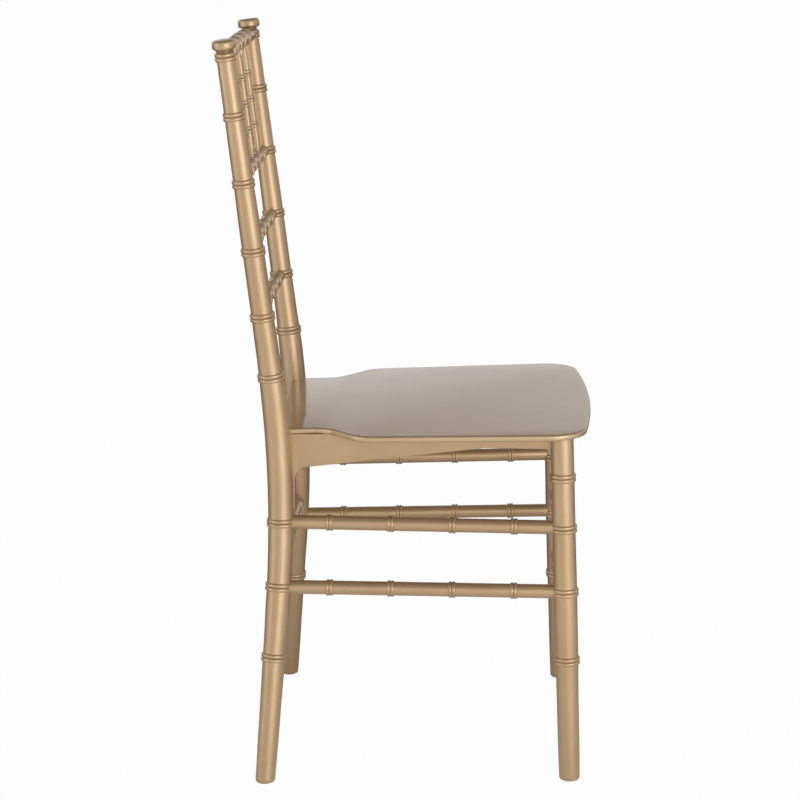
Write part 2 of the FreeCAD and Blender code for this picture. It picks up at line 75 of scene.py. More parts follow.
def frame_from(start: Vector, axis: Vector, across: Vector) -> Matrix:
    """Builds the matrix of a line's own plane.

    Args:
        start: Where the line starts, in millimetres.
        axis: Direction of the line's start.
        across: Direction in which the line bends.

    Returns:
        A matrix whose Z runs along the line and whose X points the way that it bends.
    """
    along = axis.normalized()
    side = along.cross(across).normalized()
    towards = side.cross(along)
    rows = Matrix((towards, side, along)).transposed().to_4x4()
    return Matrix.Translation(start) @ rows


@dataclass(frozen=True)
class StraightLine:
    """A straight axis from one point to another."""

    start: Vector
    end: Vector

    @property
    def length(self) -> float:
        """Distance between the two ends."""
        return (self.end - self.start).length

    def at(self, distance: float) -> tuple[float, float, float]:
        """Across, along and lean at a distance from the start."""
        return 0.0, distance, 0.0

    def frame(self) -> Matrix:
        """Matrix from the line's own plane to the chair.

        Returns:
            A matrix in millimetres, whose X lies across the line.
        """
        axis = self.end - self.start
        across = Vector((1, 0, 0)) if abs(axis.normalized().x) < NEARLY_ACROSS else Vector((0, 1, 0))
        return frame_from(self.start, axis, across)

    def distance_at_height(self, height: float) -> float:
        """Distance along the line at which it passes a height."""
        return (height - self.start.z) * self.length / (self.end.z - self.start.z)


@dataclass(frozen=True)
class BentLine:
    """A straight run, a bend of a large radius and a second straight run, in one plane."""

    foot: Vector
    knee: Vector
    crown: Vector
    radius: float

    @property
    def low(self) -> Vector:
        """Direction of the lower run."""
        return (self.knee - self.foot).normalized()

    @property
    def high(self) -> Vector:
        """Direction of the upper run."""
        return (self.crown - self.knee).normalized()

    @property
    def angle(self) -> float:
        """Turn of the bend, in radians."""
        return self.low.angle(self.high)

    @property
    def low_length(self) -> float:
        """Length of the lower run, up to where the bend starts."""
        return (self.knee - self.foot).length - self.radius * math.tan(self.angle / 2)

    @property
    def length(self) -> float:
        """Length of the whole axis, up to the crown."""
        reach = self.radius * math.tan(self.angle / 2)
        return self.low_length + self.radius * self.angle + (self.crown - self.knee).length - reach

    def at(self, distance: float) -> tuple[float, float, float]:
        """Across, along and lean at a distance from the foot.

        Args:
            distance: Distance along the axis from the foot.

        Returns:
            Both places in millimetres, and the lean in radians.
        """
        turned = min(max((distance - self.low_length) / self.radius, 0.0), self.angle)
        beyond = max(distance - self.low_length - self.radius * self.angle, 0.0)
        across = self.radius * (1 - math.cos(turned)) + beyond * math.sin(turned)
        start = min(distance, self.low_length)
        along = start + self.radius * math.sin(turned) + beyond * math.cos(turned)
        return across, along, turned

    def frame(self) -> Matrix:
        """Matrix from the post's own plane to the chair."""
        return frame_from(self.foot, self.low, self.high)

    def point(self, distance: float) -> Vector:
        """Point of the axis in the chair, at a distance from the foot."""
        across, along, _ = self.at(distance)
        return self.frame() @ Vector((across, 0, along))

    def distance_at_height(self, height: float) -> float:
        """Distance along the axis at which it passes a height.

        Args:
            height: The height, in millimetres.

        Returns:
            The distance from the foot.
        """
        low, high = 0.0, self.length * 1.2  # The axis runs on straight past its crown
        for _ in range(SEARCH_STEPS):
            middle = (low + high) / 2
            if self.point(middle).z < height:
                low = middle
            else:
                high = middle
        return low

    def point_at_height(self, height: float) -> Vector:
        """Point of the axis in the chair, at a height."""
        return self.point(self.distance_at_height(height))


@dataclass(frozen=True)
class BowedLine:
    """A level arc between two points that mirror each other, bowed to the rear."""

    end: Vector
    bow: float

    @property
    def radius(self) -> float:
        """Radius of the arc."""
        half = abs(self.end.x)
        return (half * half + self.bow * self.bow) / (2 * self.bow)

    @property
    def reach(self) -> float:
        """Half of the arc's angle, in radians."""
        return math.asin(abs(self.end.x) / self.radius)

    @property
    def length(self) -> float:
        """Length of the arc."""
        return 2 * self.reach * self.radius

    def at(self, distance: float) -> tuple[float, float, float]:
        """Across, along and lean at a distance from the sitter's right end.

        Args:
            distance: Distance along the arc from that end.

        Returns:
            Both places in millimetres, and the lean in radians.
        """
        turned = distance / self.radius - self.reach
        across = self.radius * (math.cos(turned) - math.cos(self.reach))
        along = self.radius * (math.sin(turned) + math.sin(self.reach))
        return across, along, -turned

    def frame(self) -> Matrix:
        """Matrix from the rail's own plane to the chair."""
        start = Vector((-abs(self.end.x), self.end.y, self.end.z))
        return frame_from(start, Vector((1, 0, 0)), Vector((0, 1, 0)))

    def point_across(self, offset: float) -> Vector:
        """Point of the arc at an offset from the chair's middle."""
        rise = math.sqrt(self.radius ** 2 - offset ** 2) - self.radius * math.cos(self.reach)
        return Vector((offset, self.end.y + rise, self.end.z))


@dataclass(frozen=True)
class ChairLines:
    """Where the axes of the round pieces run; the sitter's right side is given, the left mirrors it."""

    rear_foot: Vector = Vector((-202.0, 181.4, 0.0))
    rear_knee: Vector = Vector((-138.0, 152.6, 370.0))
    rear_crown: Vector = Vector((-161.5, 214.4, 914.0))
    bend_radius: float = 1000.0
    front_foot: Vector = Vector((-190.0, -199.9, 0.0))
    front_top: Vector = Vector((-171.0, -188.4, 443.7))
    rail_bow: float = 5.0
    crest_radius: float = 9.3
    rail_radius: float = 7.2
    crest_height: float = 900.0
    second_height: float = 747.7
    third_height: float = 664.2
    fourth_height: float = 582.7
    side_high: float = 322.5
    side_low: float = 242.0
    front_high: float = 272.0
    front_low: float = 184.0
    rear_cross: float = 268.0
    seat_height: float = 443.7
    seat_tilt: float = 1.08
    seat_thickness: float = 8.0

    def post(self) -> BentLine:
        """Axis of the right rear post."""
        return BentLine(self.rear_foot, self.rear_knee, self.rear_crown, self.bend_radius)

    def leg(self) -> StraightLine:
        """Axis of the right front leg."""
        return StraightLine(self.front_foot, self.front_top)

    def leg_point(self, height: float) -> Vector:
        """Point of the right front leg's axis at a height."""
        return self.front_foot.lerp(self.front_top, height / self.front_top.z)

    def rail(self, height: float) -> BowedLine:
        """Axis of a back rail at a height."""
        return BowedLine(self.post().point_at_height(height), self.rail_bow)


def spaced(middle: float, pitch: float, count: int) -> list[float]:
    """Places at one pitch, evenly about a middle."""
    return [middle + pitch * (i - (count - 1) / 2) for i in range(count)]


def mirrored(point: Vector) -> Vector:
    """The same point on the other side of the chair."""
    return Vector((-point.x, point.y, point.z))


# Turned profiles

class Bead(Enum):
    """Sizes of a double bead in millimetres: height of each bead, width of each bead, space between them."""

    POST = (2.0, 5.3, 5.1)
    ROD = (1.6, 4.3, 4.3)
    SPINDLE = (1.1, 4.2, 4.2)

    def stations(self, middle: float, radius: float, steps: int = 7,
                 fullness: float = 0.75) -> list[Station]:
        """Stations of two rounded beads about a point of a shaft.

        Args:
            middle: Distance of the collar's middle along the shaft.
            radius: Radius of the shaft there.
            steps: Points on each bead.
            fullness: Power of the swell; below one, a bead is fuller than a half round.

        Returns:
            Pairs of distance and radius, in order.
        """
        height, width, spacing = self.value
        found: list[Station] = []
        for side in (-1, 1):
            centre = middle + side * spacing / 2
            for step in range(steps + 1):
                angle = math.pi * step / steps
                swell = math.sin(angle) ** fullness if 0 < step < steps else 0.0
                found.append((centre - width / 2 * math.cos(angle), radius + height * swell))
        return found

    @property
    def half(self) -> float:
        """Half of the length that the collar covers."""
        _, width, spacing = self.value
        return (spacing + width) / 2


def radius_between(widths: Iterable[Station], place: float) -> float:
    """Radius of a shaft between its measured widths.

    Args:
        widths: Pairs of place and diameter, in order.
        place: Where the radius is wanted.

    Returns:
        The radius there; beyond the last width it stays.
    """
    known = list(widths)
    for (low, width), (high, next_width) in zip(known, known[1:]):
        if place <= high:
            share = max(place - low, 0.0) / (high - low)
            share = share * share * (3 - 2 * share)
            return (width + (next_width - width) * share) / 2
    return known[-1][1] / 2


@dataclass
class TurnedShaft:
    """The outline of a round piece: its plain radius along its length, and its ringed collars."""

    radius_at: Callable[[float], float]
    start: float
    end: float
    collars: list[float]
    bead: Bead
    step: float
    tail: list[Station] = field(default_factory=list)

    def stations(self) -> list[Station]:
        """Lists the stations from the start to the end, with more of them on each collar.

        Returns:
            Pairs of distance and radius, in order.
        """
        found: list[Station] = []
        position = self.start
        for middle in sorted(self.collars):
            found += self.plain(position, middle - self.bead.half)
            found += self.bead.stations(middle, self.radius_at(middle))[:-1]
            position = middle + self.bead.half
        found += self.plain(position, self.end)
        return found + [(self.end, self.radius_at(self.end))] + self.tail

    def plain(self, start: float, stop: float) -> list[Station]:
        """Lists the stations of a run without collars.

        Args:
            start: Distance at which the run starts.
            stop: Distance at which it stops; this place itself is left out.

        Returns:
            Pairs of distance and radius, in order.
        """
        count = max(1, math.ceil((stop - start) / self.step))
        places = [start + (stop - start) * i / count for i in range(count)]
        return [(place, self.radius_at(place)) for place in places]


# Modelling with the operators

def deselect() -> None:
    """Leaves nothing selected."""
    for chosen in bpy.context.selected_objects:
        chosen.select_set(False)
    bpy.context.view_layer.objects.active = None


def select_only(piece: bpy.types.Object) -> None:
    """Leaves one piece selected and active.

    Args:
        piece: The piece, in object mode.
    """
    deselect()
    piece.select_set(True)
    bpy.context.view_layer.objects.active = piece


def newest(name: str) -> bpy.types.Object:
    """Names the object that an operator has just added, and its mesh.

    Args:
        name: The name of both.

    Returns:
        The object.
    """
    piece = bpy.context.view_layer.objects.active
    piece.name = name
    piece.data.name = name
    return piece


class Kind(Enum):
    """What is selected in edit mode: its name on the mesh, and the select mode's word for it."""

    VERTS = ("verts", "VERT")
    EDGES = ("edges", "EDGE")


def pick(kind: Kind, test: Callable[[object], bool]) -> None:
    """Selects by place or normal, in edit mode.

    Args:
        kind: What is selected.
        test: Says whether an element is wanted.
    """
    attribute, mode = kind.value
    bpy.ops.mesh.select_mode(type=mode)
    bpy.ops.mesh.select_all(action="DESELECT")
    mesh = bmesh.from_edit_mesh(bpy.context.edit_object.data)
    for element in [element for element in getattr(mesh, attribute) if test(element)]:
        element.select_set(True)
    mesh.select_flush_mode()
    bmesh.update_edit_mesh(bpy.context.edit_object.data)


def settle(piece: bpy.types.Object, place: Matrix | None = None) -> None:
    """Moves a piece to its place in the chair and leaves its object at the origin, unturned and unscaled.

    Args:
        piece: The piece, in object mode.
        place: Where it goes, in metres; without it only the object's own place is applied.
    """
    select_only(piece)
    if place is not None:
        piece.matrix_world = place @ piece.matrix_world
    bpy.ops.object.transform_apply(location=True, rotation=True, scale=True)


def place_in_chair(frame_mm: Matrix) -> Matrix:
    """Turns a matrix in millimetres into one in metres, for a mesh that is already in metres.

    Args:
        frame_mm: The matrix, with its place in millimetres.

    Returns:
        The matrix with its place in metres.
    """
    place = frame_mm.copy()
    place.translation = frame_mm.translation * MM
    return place


def smooth(piece: bpy.types.Object, angle: float = 38.0) -> None:
    """Shades a piece smooth, with sharp edges kept where it turns by more than an angle in degrees."""
    select_only(piece)
    bpy.ops.object.shade_smooth_by_angle(angle=math.radians(angle))


def outward(piece: bpy.types.Object) -> None:
    """Turns every face of a piece outwards.

    Args:
        piece: A closed piece, in object mode.
    """
    select_only(piece)
    bpy.ops.object.mode_set(mode="EDIT")
    bpy.ops.mesh.select_all(action="SELECT")
    bpy.ops.mesh.normals_make_consistent(inside=False)
    bpy.ops.object.mode_set(mode="OBJECT")


def mirror_copy(piece: bpy.types.Object, name: str) -> bpy.types.Object:
    """Copies a piece, mesh and all, to the other side of the chair.

    Args:
        piece: The piece on the sitter's right.
        name: Name of the copy.

    Returns:
        The copy, with its faces outward.
    """
    select_only(piece)
    bpy.ops.object.duplicate(linked=False)
    copy = newest(name)
    copy.scale = (-1, 1, 1)
    settle(copy)
    outward(copy)
    return copy


def turn_on_lathe(name: str, line: Line, stations: Iterable[Station], sides: int) -> bpy.types.Object:
    """Makes a round piece by pushing a ring of points along a line and sizing it at every station.

    Args:
        name: Name of the new piece.
        line: The piece's axis.
        stations: Pairs of distance along the axis and radius, in millimetres, in order.
        sides: Points on the ring.

    Returns:
        The finished piece, closed at both ends, in its place in the chair.
    """
    path = list(stations)
    first, radius = path[0]
    across, along, lean = line.at(first)
    centre = Vector((across, 0, along)) * MM
    deselect()
    bpy.ops.mesh.primitive_circle_add(vertices=sides, radius=radius * MM, fill_type="NGON",
                                      location=centre, rotation=(0, lean, 0))
    piece = newest(name)
    settle(piece)
    bpy.ops.object.mode_set(mode="EDIT")
    bpy.ops.mesh.select_all(action="SELECT")
    for distance, next_radius in path[1:]:
        across, along, next_lean = line.at(distance)
        target = Vector((across, 0, along)) * MM
        bpy.ops.mesh.extrude_region_move(TRANSFORM_OT_translate={"value": target - centre})
        if abs(next_lean - lean) > TOO_SMALL:
            bpy.ops.transform.rotate(value=lean - next_lean, orient_axis="Y", orient_type="GLOBAL",
                                     center_override=target)
        if abs(next_radius - radius) > TOO_SMALL:
            share = next_radius / radius
            bpy.ops.transform.resize(value=(share, share, share), center_override=target)
        centre, radius, lean = target, next_radius, next_lean
    bpy.ops.object.mode_set(mode="OBJECT")
    settle(piece, place_in_chair(line.frame()))
    outward(piece)
    return piece


def cut_level(piece: bpy.types.Object, edge: float, steps: int = 4) -> None:
    """Cuts a foot level at the floor and rounds its edge.

    Args:
        piece: The post or leg, which runs a little past the floor.
        edge: Radius of the rounding, in millimetres.
        steps: Faces across the rounding.
    """
    select_only(piece)
    bpy.ops.object.mode_set(mode="EDIT")
    bpy.ops.mesh.select_all(action="SELECT")
    bpy.ops.mesh.bisect(plane_co=(0, 0, 0), plane_no=(0, 0, 1), use_fill=True, clear_inner=True)
    pick(Kind.EDGES, lambda e: all(abs(v.co.z) < SAME_LINE for v in e.verts))
    bpy.ops.mesh.bevel(offset=edge * MM, offset_type="OFFSET", segments=steps, affect="EDGES")
    bpy.ops.object.mode_set(mode="OBJECT")


# Finishes

def linear(colour: str) -> tuple[float, float, float, float]:
    """Turns an sRGB hex colour into the linear one that a shader takes.

    Args:
        colour: The colour, as # and six hex digits.

    Returns:
        Red, green, blue and an alpha of one.
    """
    parts = [int(colour[i:i + 2], 16) / 255 for i in (1, 3, 5)]
    values = [p / 12.92 if p <= 0.04045 else ((p + 0.055) / 1.055) ** 2.4 for p in parts]
    return values[0], values[1], values[2], 1.0


def add_node(tree: bpy.types.NodeTree, kind: str, settings: dict[str, object] | None = None,
             links: dict[str, bpy.types.NodeSocket] | None = None) -> bpy.types.Node:
    """Adds a node with its settings and links.

    Args:
        tree: The material's or world's node tree.
        kind: The node's type name.
        settings: Properties by name, and inputs by the name of their socket.
        links: Output sockets of other nodes, by the name of the input that each one feeds.

    Returns:
        The new node.
    """
    node = tree.nodes.new(kind)
    for name, value in (settings or {}).items():
        if name.isdigit() or name in node.inputs:
            node.inputs[int(name) if name.isdigit() else name].default_value = value
        else:
            setattr(node, name, value)
    for name, socket in (links or {}).items():
        tree.links.new(socket, node.inputs[int(name) if name.isdigit() else name])
    return node


def fresh_material(name: str) -> tuple[bpy.types.Material, bpy.types.NodeTree]:
    """Starts a node material with no nodes in it.

    Args:
        name: Name of the material.

    Returns:
        The material and its node tree.
    """
    material = bpy.data.materials.new(name)
    material.use_nodes = True
    material.node_tree.nodes.clear()
    return material, material.node_tree


class Grain(Enum):
    """The way that the polishing marks of a piece run, as the stretch of a pattern along each axis."""

    UPRIGHT = (1.0, 1.0, 0.03)
    FORE_AND_AFT = (1.0, 0.03, 1.0)
    CROSSWISE = (0.03, 1.0, 1.0)


@dataclass(frozen=True)
class SatinGold:
    """Gold lacquer with fine metal flakes under a clear coat, sprayed over polished rods and boards."""

    # To the eye: a warm satin sheen with a broad highlight, faint marks along each piece and a clear coat
    # that turns pale at a low angle. Real flakes are far finer; these are drawn coarse so that they show.
    colour: str = "#BC9F7B"
    dark: str = "#B0916B"
    edge: str = "#CFB48C"
    roughness: float = 0.46
    flake_mm: float = 0.5
    mark_mm: float = 1.6
    cloud_mm: float = 1000 / 14
    mark_share: float = 0.6
    mark_range: tuple[float, float] = (0.3, 0.7)
    tone_range: tuple[float, float] = (0.45, 1.15)
    roughness_range: tuple[float, float] = (-0.04, 0.05)
    flake_relief: tuple[float, float] = (0.12, 0.02)    # Strength, and depth in millimetres
    mark_relief: tuple[float, float] = (0.18, 0.03)
    metallic: float = 0.6
    coat: float = 0.8
    coat_roughness: float = 0.25

    def material(self, name: str, grain: Grain) -> bpy.types.Material:
        """Builds the material.

        Args:
            name: Name of the material.
            grain: Which way the faint marks run.

        Returns:
            The node material, on Object coordinates.
        """
        material, tree = fresh_material(name)
        place = add_node(tree, "ShaderNodeTexCoord")
        stretched = add_node(tree, "ShaderNodeMapping", {"Scale": grain.value},
                             {"Vector": place.outputs["Object"]})
        marks = add_node(tree, "ShaderNodeTexNoise",
                         {"Scale": 1 / (self.mark_mm * MM), "Detail": 3.0, "Roughness": 0.6},
                         {"Vector": stretched.outputs["Vector"]})
        clouds = add_node(tree, "ShaderNodeTexNoise", {"Scale": 1 / (self.cloud_mm * MM), "Detail": 2.0},
                          {"Vector": place.outputs["Object"]})
        flakes = add_node(tree, "ShaderNodeTexNoise",
                          {"Scale": 1 / (self.flake_mm * MM), "Detail": 1.0},
                          {"Vector": place.outputs["Object"]})
        both = add_node(tree, "ShaderNodeMath", {"operation": "MULTIPLY_ADD", "1": self.mark_share},
                        {"0": marks.outputs["Fac"], "2": clouds.outputs["Fac"]})
        tone = add_node(tree, "ShaderNodeMapRange",
                        {"From Min": self.tone_range[0], "From Max": self.tone_range[1]},
                        {"Value": both.outputs["Value"]})
        colour = add_node(tree, "ShaderNodeMix",
                          {"data_type": "RGBA", "6": linear(self.dark), "7": linear(self.colour)},
                          {"0": tone.outputs["Result"]})
        rough = add_node(tree, "ShaderNodeMapRange",
                         {"From Min": self.mark_range[0], "From Max": self.mark_range[1],
                          "To Min": self.roughness + self.roughness_range[0],
                          "To Max": self.roughness + self.roughness_range[1]},
                         {"Value": marks.outputs["Fac"]})
        grit = add_node(tree, "ShaderNodeBump",
                        {"Strength": self.flake_relief[0], "Distance": self.flake_relief[1] * MM},
                        {"Height": flakes.outputs["Fac"]})
        scored = add_node(tree, "ShaderNodeBump",
                          {"Strength": self.mark_relief[0], "Distance": self.mark_relief[1] * MM},
                          {"Height": marks.outputs["Fac"], "Normal": grit.outputs["Normal"]})
        shader = add_node(tree, "ShaderNodeBsdfPrincipled",
                          {"Metallic": self.metallic, "Specular Tint": linear(self.edge),
                           "Coat Weight": self.coat, "Coat Roughness": self.coat_roughness},
                          {"Base Color": colour.outputs[2], "Roughness": rough.outputs["Result"],
                           "Normal": scored.outputs["Normal"]})
        add_node(tree, "ShaderNodeOutputMaterial", links={"Surface": shader.outputs["BSDF"]})
        return material


# The chair's sub-assemblies

@dataclass
class Piece:
    """A finished piece with the node that it stands for and the record's slot of its finish."""

    body: bpy.types.Object
    node: str
    slot: str = "gold_frame"


def pair(right: bpy.types.Object, node: str, crease: float = 38.0, lift: float = 0.0) -> list[Piece]:
    """Gives a finished right piece its left twin.

    Args:
        right: The piece on the sitter's right, whose name starts with right.
        node: Name of the two nodes without their side.
        crease: Turn in degrees above which an edge stays sharp.
        lift: Height in millimetres by which the left piece sits over the mirror image.

    Returns:
        The right piece and the left one.
    """
    left = mirror_copy(right, right.name.replace("right_", "left_", 1))
    if lift:
        select_only(left)
        bpy.ops.transform.translate(value=(0, 0, lift * MM))
        settle(left)
    smooth(left, crease)
    return [Piece(right, "right_" + node), Piece(left, "left_" + node)]


@dataclass
class RearPosts:
    """The two bent posts, each with nine ringed collars and a turned finial; widths are taken at heights."""

    lines: ChairLines
    collar_heights: tuple[float, ...] = (829.0, 507.0, 154.5)
    widths: tuple[Station, ...] = (
        (0.0, 24.8), (66.0, 26.4), (165.0, 28.2), (228.0, 30.2), (310.0, 31.6), (400.0, 31.8), (475.0, 31.2),
        (545.0, 28.3), (600.0, 27.0), (680.0, 26.4), (762.0, 24.2), (860.0, 22.5), (900.0, 22.0))
    neck: float = 9.4
    bead: float = 11.3
    disc: float = 14.3
    disc_height: float = 11.9
    neck_length: float = 3.2
    foot_edge: float = 3.5
    below_floor: float = -6.0
    step: float = 12.0
    sides: int = 48

    def finial(self, start: float) -> list[Station]:
        """Lists the stations of the neck, its small bead and the rounded disc.

        Args:
            start: Distance along the post at which its top collar ends.

        Returns:
            Pairs of distance and radius, in order.
        """
        base = start + self.neck_length
        rise = self.disc_height
        return [
            (start + 0.1, self.neck + 0.6), (start + 0.4, self.neck), (start + 0.8, self.neck),
            (start + 1.2, self.bead - 0.5), (start + 1.7, self.bead), (start + 2.3, self.bead - 0.5),
            (start + 2.8, self.neck), (base, self.neck),
            (base + 0.2, self.disc - 3.2), (base + 0.8, self.disc - 1.5), (base + 1.8, self.disc - 0.4),
            (base + 3.0, self.disc), (base + rise * 0.64, self.disc), (base + rise * 0.79, self.disc - 0.4),
            (base + rise * 0.90, self.disc - 1.3), (base + rise * 0.97, self.disc - 2.8),
            (base + rise * 0.995, self.disc - 5.0), (base + rise, 2.0),
        ]

    def build(self) -> list[Piece]:
        """Makes both posts.

        Returns:
            The right post and the left one.
        """
        line = self.lines.post()
        heights = self.collar_heights + (
            self.lines.side_low, self.lines.side_high, self.lines.fourth_height,
            self.lines.third_height, self.lines.second_height, self.lines.crest_height)
        collars = [line.distance_at_height(height) for height in heights]
        top = max(collars) + Bead.POST.half
        shaft = TurnedShaft(lambda d: radius_between(self.widths, line.point(d).z), self.below_floor, top,
                            collars, Bead.POST, self.step, self.finial(top))
        right = turn_on_lathe("right_rear_post_turned", line, shaft.stations(), self.sides)
        cut_level(right, self.foot_edge)
        smooth(right)
        return pair(right, "rear_post")


@dataclass
class FrontLegs:
    """The two straight front legs, each with four ringed collars; widths are taken from the foot up."""

    lines: ChairLines
    collar_heights: tuple[float, ...] = (154.5, 386.5)
    widths: tuple[Station, ...] = (
        (0.0, 25.8), (40.0, 27.0), (104.0, 27.4), (180.0, 28.9), (242.0, 29.1), (322.0, 28.4), (444.0, 28.2))
    foot_edge: float = 3.5
    below_floor: float = -6.0
    step: float = 14.0
    sides: int = 48

    def build(self) -> list[Piece]:
        """Makes both legs.

        Returns:
            The right leg and the left one.
        """
        line = self.lines.leg()
        heights = self.collar_heights + (self.lines.side_low, self.lines.side_high)
        collars = [line.distance_at_height(height) for height in heights]
        under_seat = line.distance_at_height(self.lines.seat_height - self.lines.seat_thickness / 2)
        shaft = TurnedShaft(lambda d: radius_between(self.widths, d), self.below_floor, under_seat, collars,
                            Bead.POST, self.step)
        right = turn_on_lathe("right_front_leg_turned", line, shaft.stations(), self.sides)
        cut_level(right, self.foot_edge)
        smooth(right)
        return pair(right, "front_leg")


@dataclass
class Stretchers:
    """Seven ringed rods that tie the posts and legs together below the seat."""

    lines: ChairLines
    radius: float = 8.7
    pitch: float = 76.4
    count: int = 4
    seat_in: float = 7.0
    # Both lifts fit the photograph: its upper side rods sit about a pixel over the solids' ones, and the far,
    # left rods about two more over a mirror image of the right ones. A pixel is some 1.3 mm there.
    upper_lift: float = 0.8
    left_lift: float = 2.8
    step: float = 40.0
    sides: int = 36

    def rod(self, name: str, start: Vector, end: Vector) -> bpy.types.Object:
        """Makes one rod with its collars about its middle.

        Args:
            name: Name of the rod.
            start: Point on the axis of the post or leg at one end.
            end: Point on the axis at the other end.

        Returns:
            The finished rod.
        """
        line = StraightLine(start, end)
        collars = spaced(line.length / 2, self.pitch, self.count)
        shaft = TurnedShaft(lambda _: self.radius, self.seat_in, line.length - self.seat_in, collars,
                            Bead.ROD, self.step)
        piece = turn_on_lathe(name, line, shaft.stations(), self.sides)
        smooth(piece)
        return piece

    def build(self) -> list[Piece]:
        """Makes the four side rods and the three cross rods.

        Returns:
            The side rods, then the front ones and the rear one.
        """
        lines = self.lines
        made: list[Piece] = []
        for level, height in (("upper", lines.side_high + self.upper_lift), ("lower", lines.side_low)):
            right = self.rod(f"right_{level}_side_rod", lines.post().point_at_height(height),
                             lines.leg_point(height))
            made += pair(right, f"{level}_side_stretcher", lift=self.left_lift)
        crossings = (
            ("upper_front_stretcher", lines.leg_point(lines.front_high)),
            ("lower_front_stretcher", lines.leg_point(lines.front_low)),
            ("rear_stretcher", lines.post().point_at_height(lines.rear_cross)),
        )
        for node, point in crossings:
            made.append(Piece(self.rod(node + "_rod", point, mirrored(point)), node))
        return made


@dataclass
class BackRails:
    """The crest rail and three lower rails, each bowed to the rear with five ringed collars."""

    lines: ChairLines
    seat_in: float = 6.0
    step: float = 14.0
    sides: int = 40
    count: int = 5
    pitches: tuple[float, ...] = (49.3, 48.4, 47.0, 45.3)

    def build(self) -> list[Piece]:
        """Makes the four rails.

        Returns:
            The rails from the crest down.
        """
        lines = self.lines
        heights = (lines.crest_height, lines.second_height, lines.third_height, lines.fourth_height)
        nodes = ("crest_rail", "second_back_rail", "third_back_rail", "fourth_back_rail")
        made: list[Piece] = []
        for node, height, pitch in zip(nodes, heights, self.pitches):
            line = lines.rail(height)
            radius = lines.crest_radius if node == "crest_rail" else lines.rail_radius
            collars = spaced(line.length / 2, pitch, self.count)
            shaft = TurnedShaft(lambda _, plain=radius: plain, self.seat_in, line.length - self.seat_in,
                                collars, Bead.ROD, self.step)
            rail = turn_on_lathe(node + "_turned", line, shaft.stations(), self.sides)
            smooth(rail)
            made.append(Piece(rail, node))
        return made


@dataclass
class Spindles:
    """Four thin rods between the crest rail and the second rail, narrower at both ends."""

    lines: ChairLines
    count: int = 4
    pitch: float = 61.0
    radius: float = 4.1
    end_radius: float = 2.8
    taper: float = 15.0
    collar_pitch: float = 33.0
    collar_count: int = 3
    seat_in: float = 4.0
    step: float = 5.0
    sides: int = 28

    def radius_at(self, distance: float, length: float) -> float:
        """Radius of a spindle, which narrows towards both rails.

        Args:
            distance: Distance from the second rail's axis.
            length: Distance between the axes of the two rails.

        Returns:
            The radius in millimetres.
        """
        from_second = max((distance - self.lines.rail_radius) / self.taper, 0.0)
        from_crest = max((length - self.lines.crest_radius - distance) / self.taper, 0.0)
        share = min(from_second, from_crest, 1.0)
        return self.end_radius + (self.radius - self.end_radius) * math.sin(share * math.pi / 2)

    def build(self) -> list[Piece]:
        """Makes the spindles, from the sitter's right.

        Returns:
            The spindles in that order.
        """
        made: list[Piece] = []
        crest = self.lines.rail(self.lines.crest_height)
        second = self.lines.rail(self.lines.second_height)
        for number, offset in enumerate(spaced(0.0, self.pitch, self.count), 1):
            line = StraightLine(second.point_across(offset), crest.point_across(offset))
            middle = (self.lines.rail_radius + line.length - self.lines.crest_radius) / 2
            collars = spaced(middle, self.collar_pitch, self.collar_count)
            shaft = TurnedShaft(lambda d, length=line.length: self.radius_at(d, length), self.seat_in,
                                line.length - self.seat_in, collars, Bead.SPINDLE, self.step)
            piece = turn_on_lathe(f"spindle_{number}_turned", line, shaft.stations(), self.sides)
            smooth(piece)
            made.append(Piece(piece, f"spindle_{number}"))
        return made


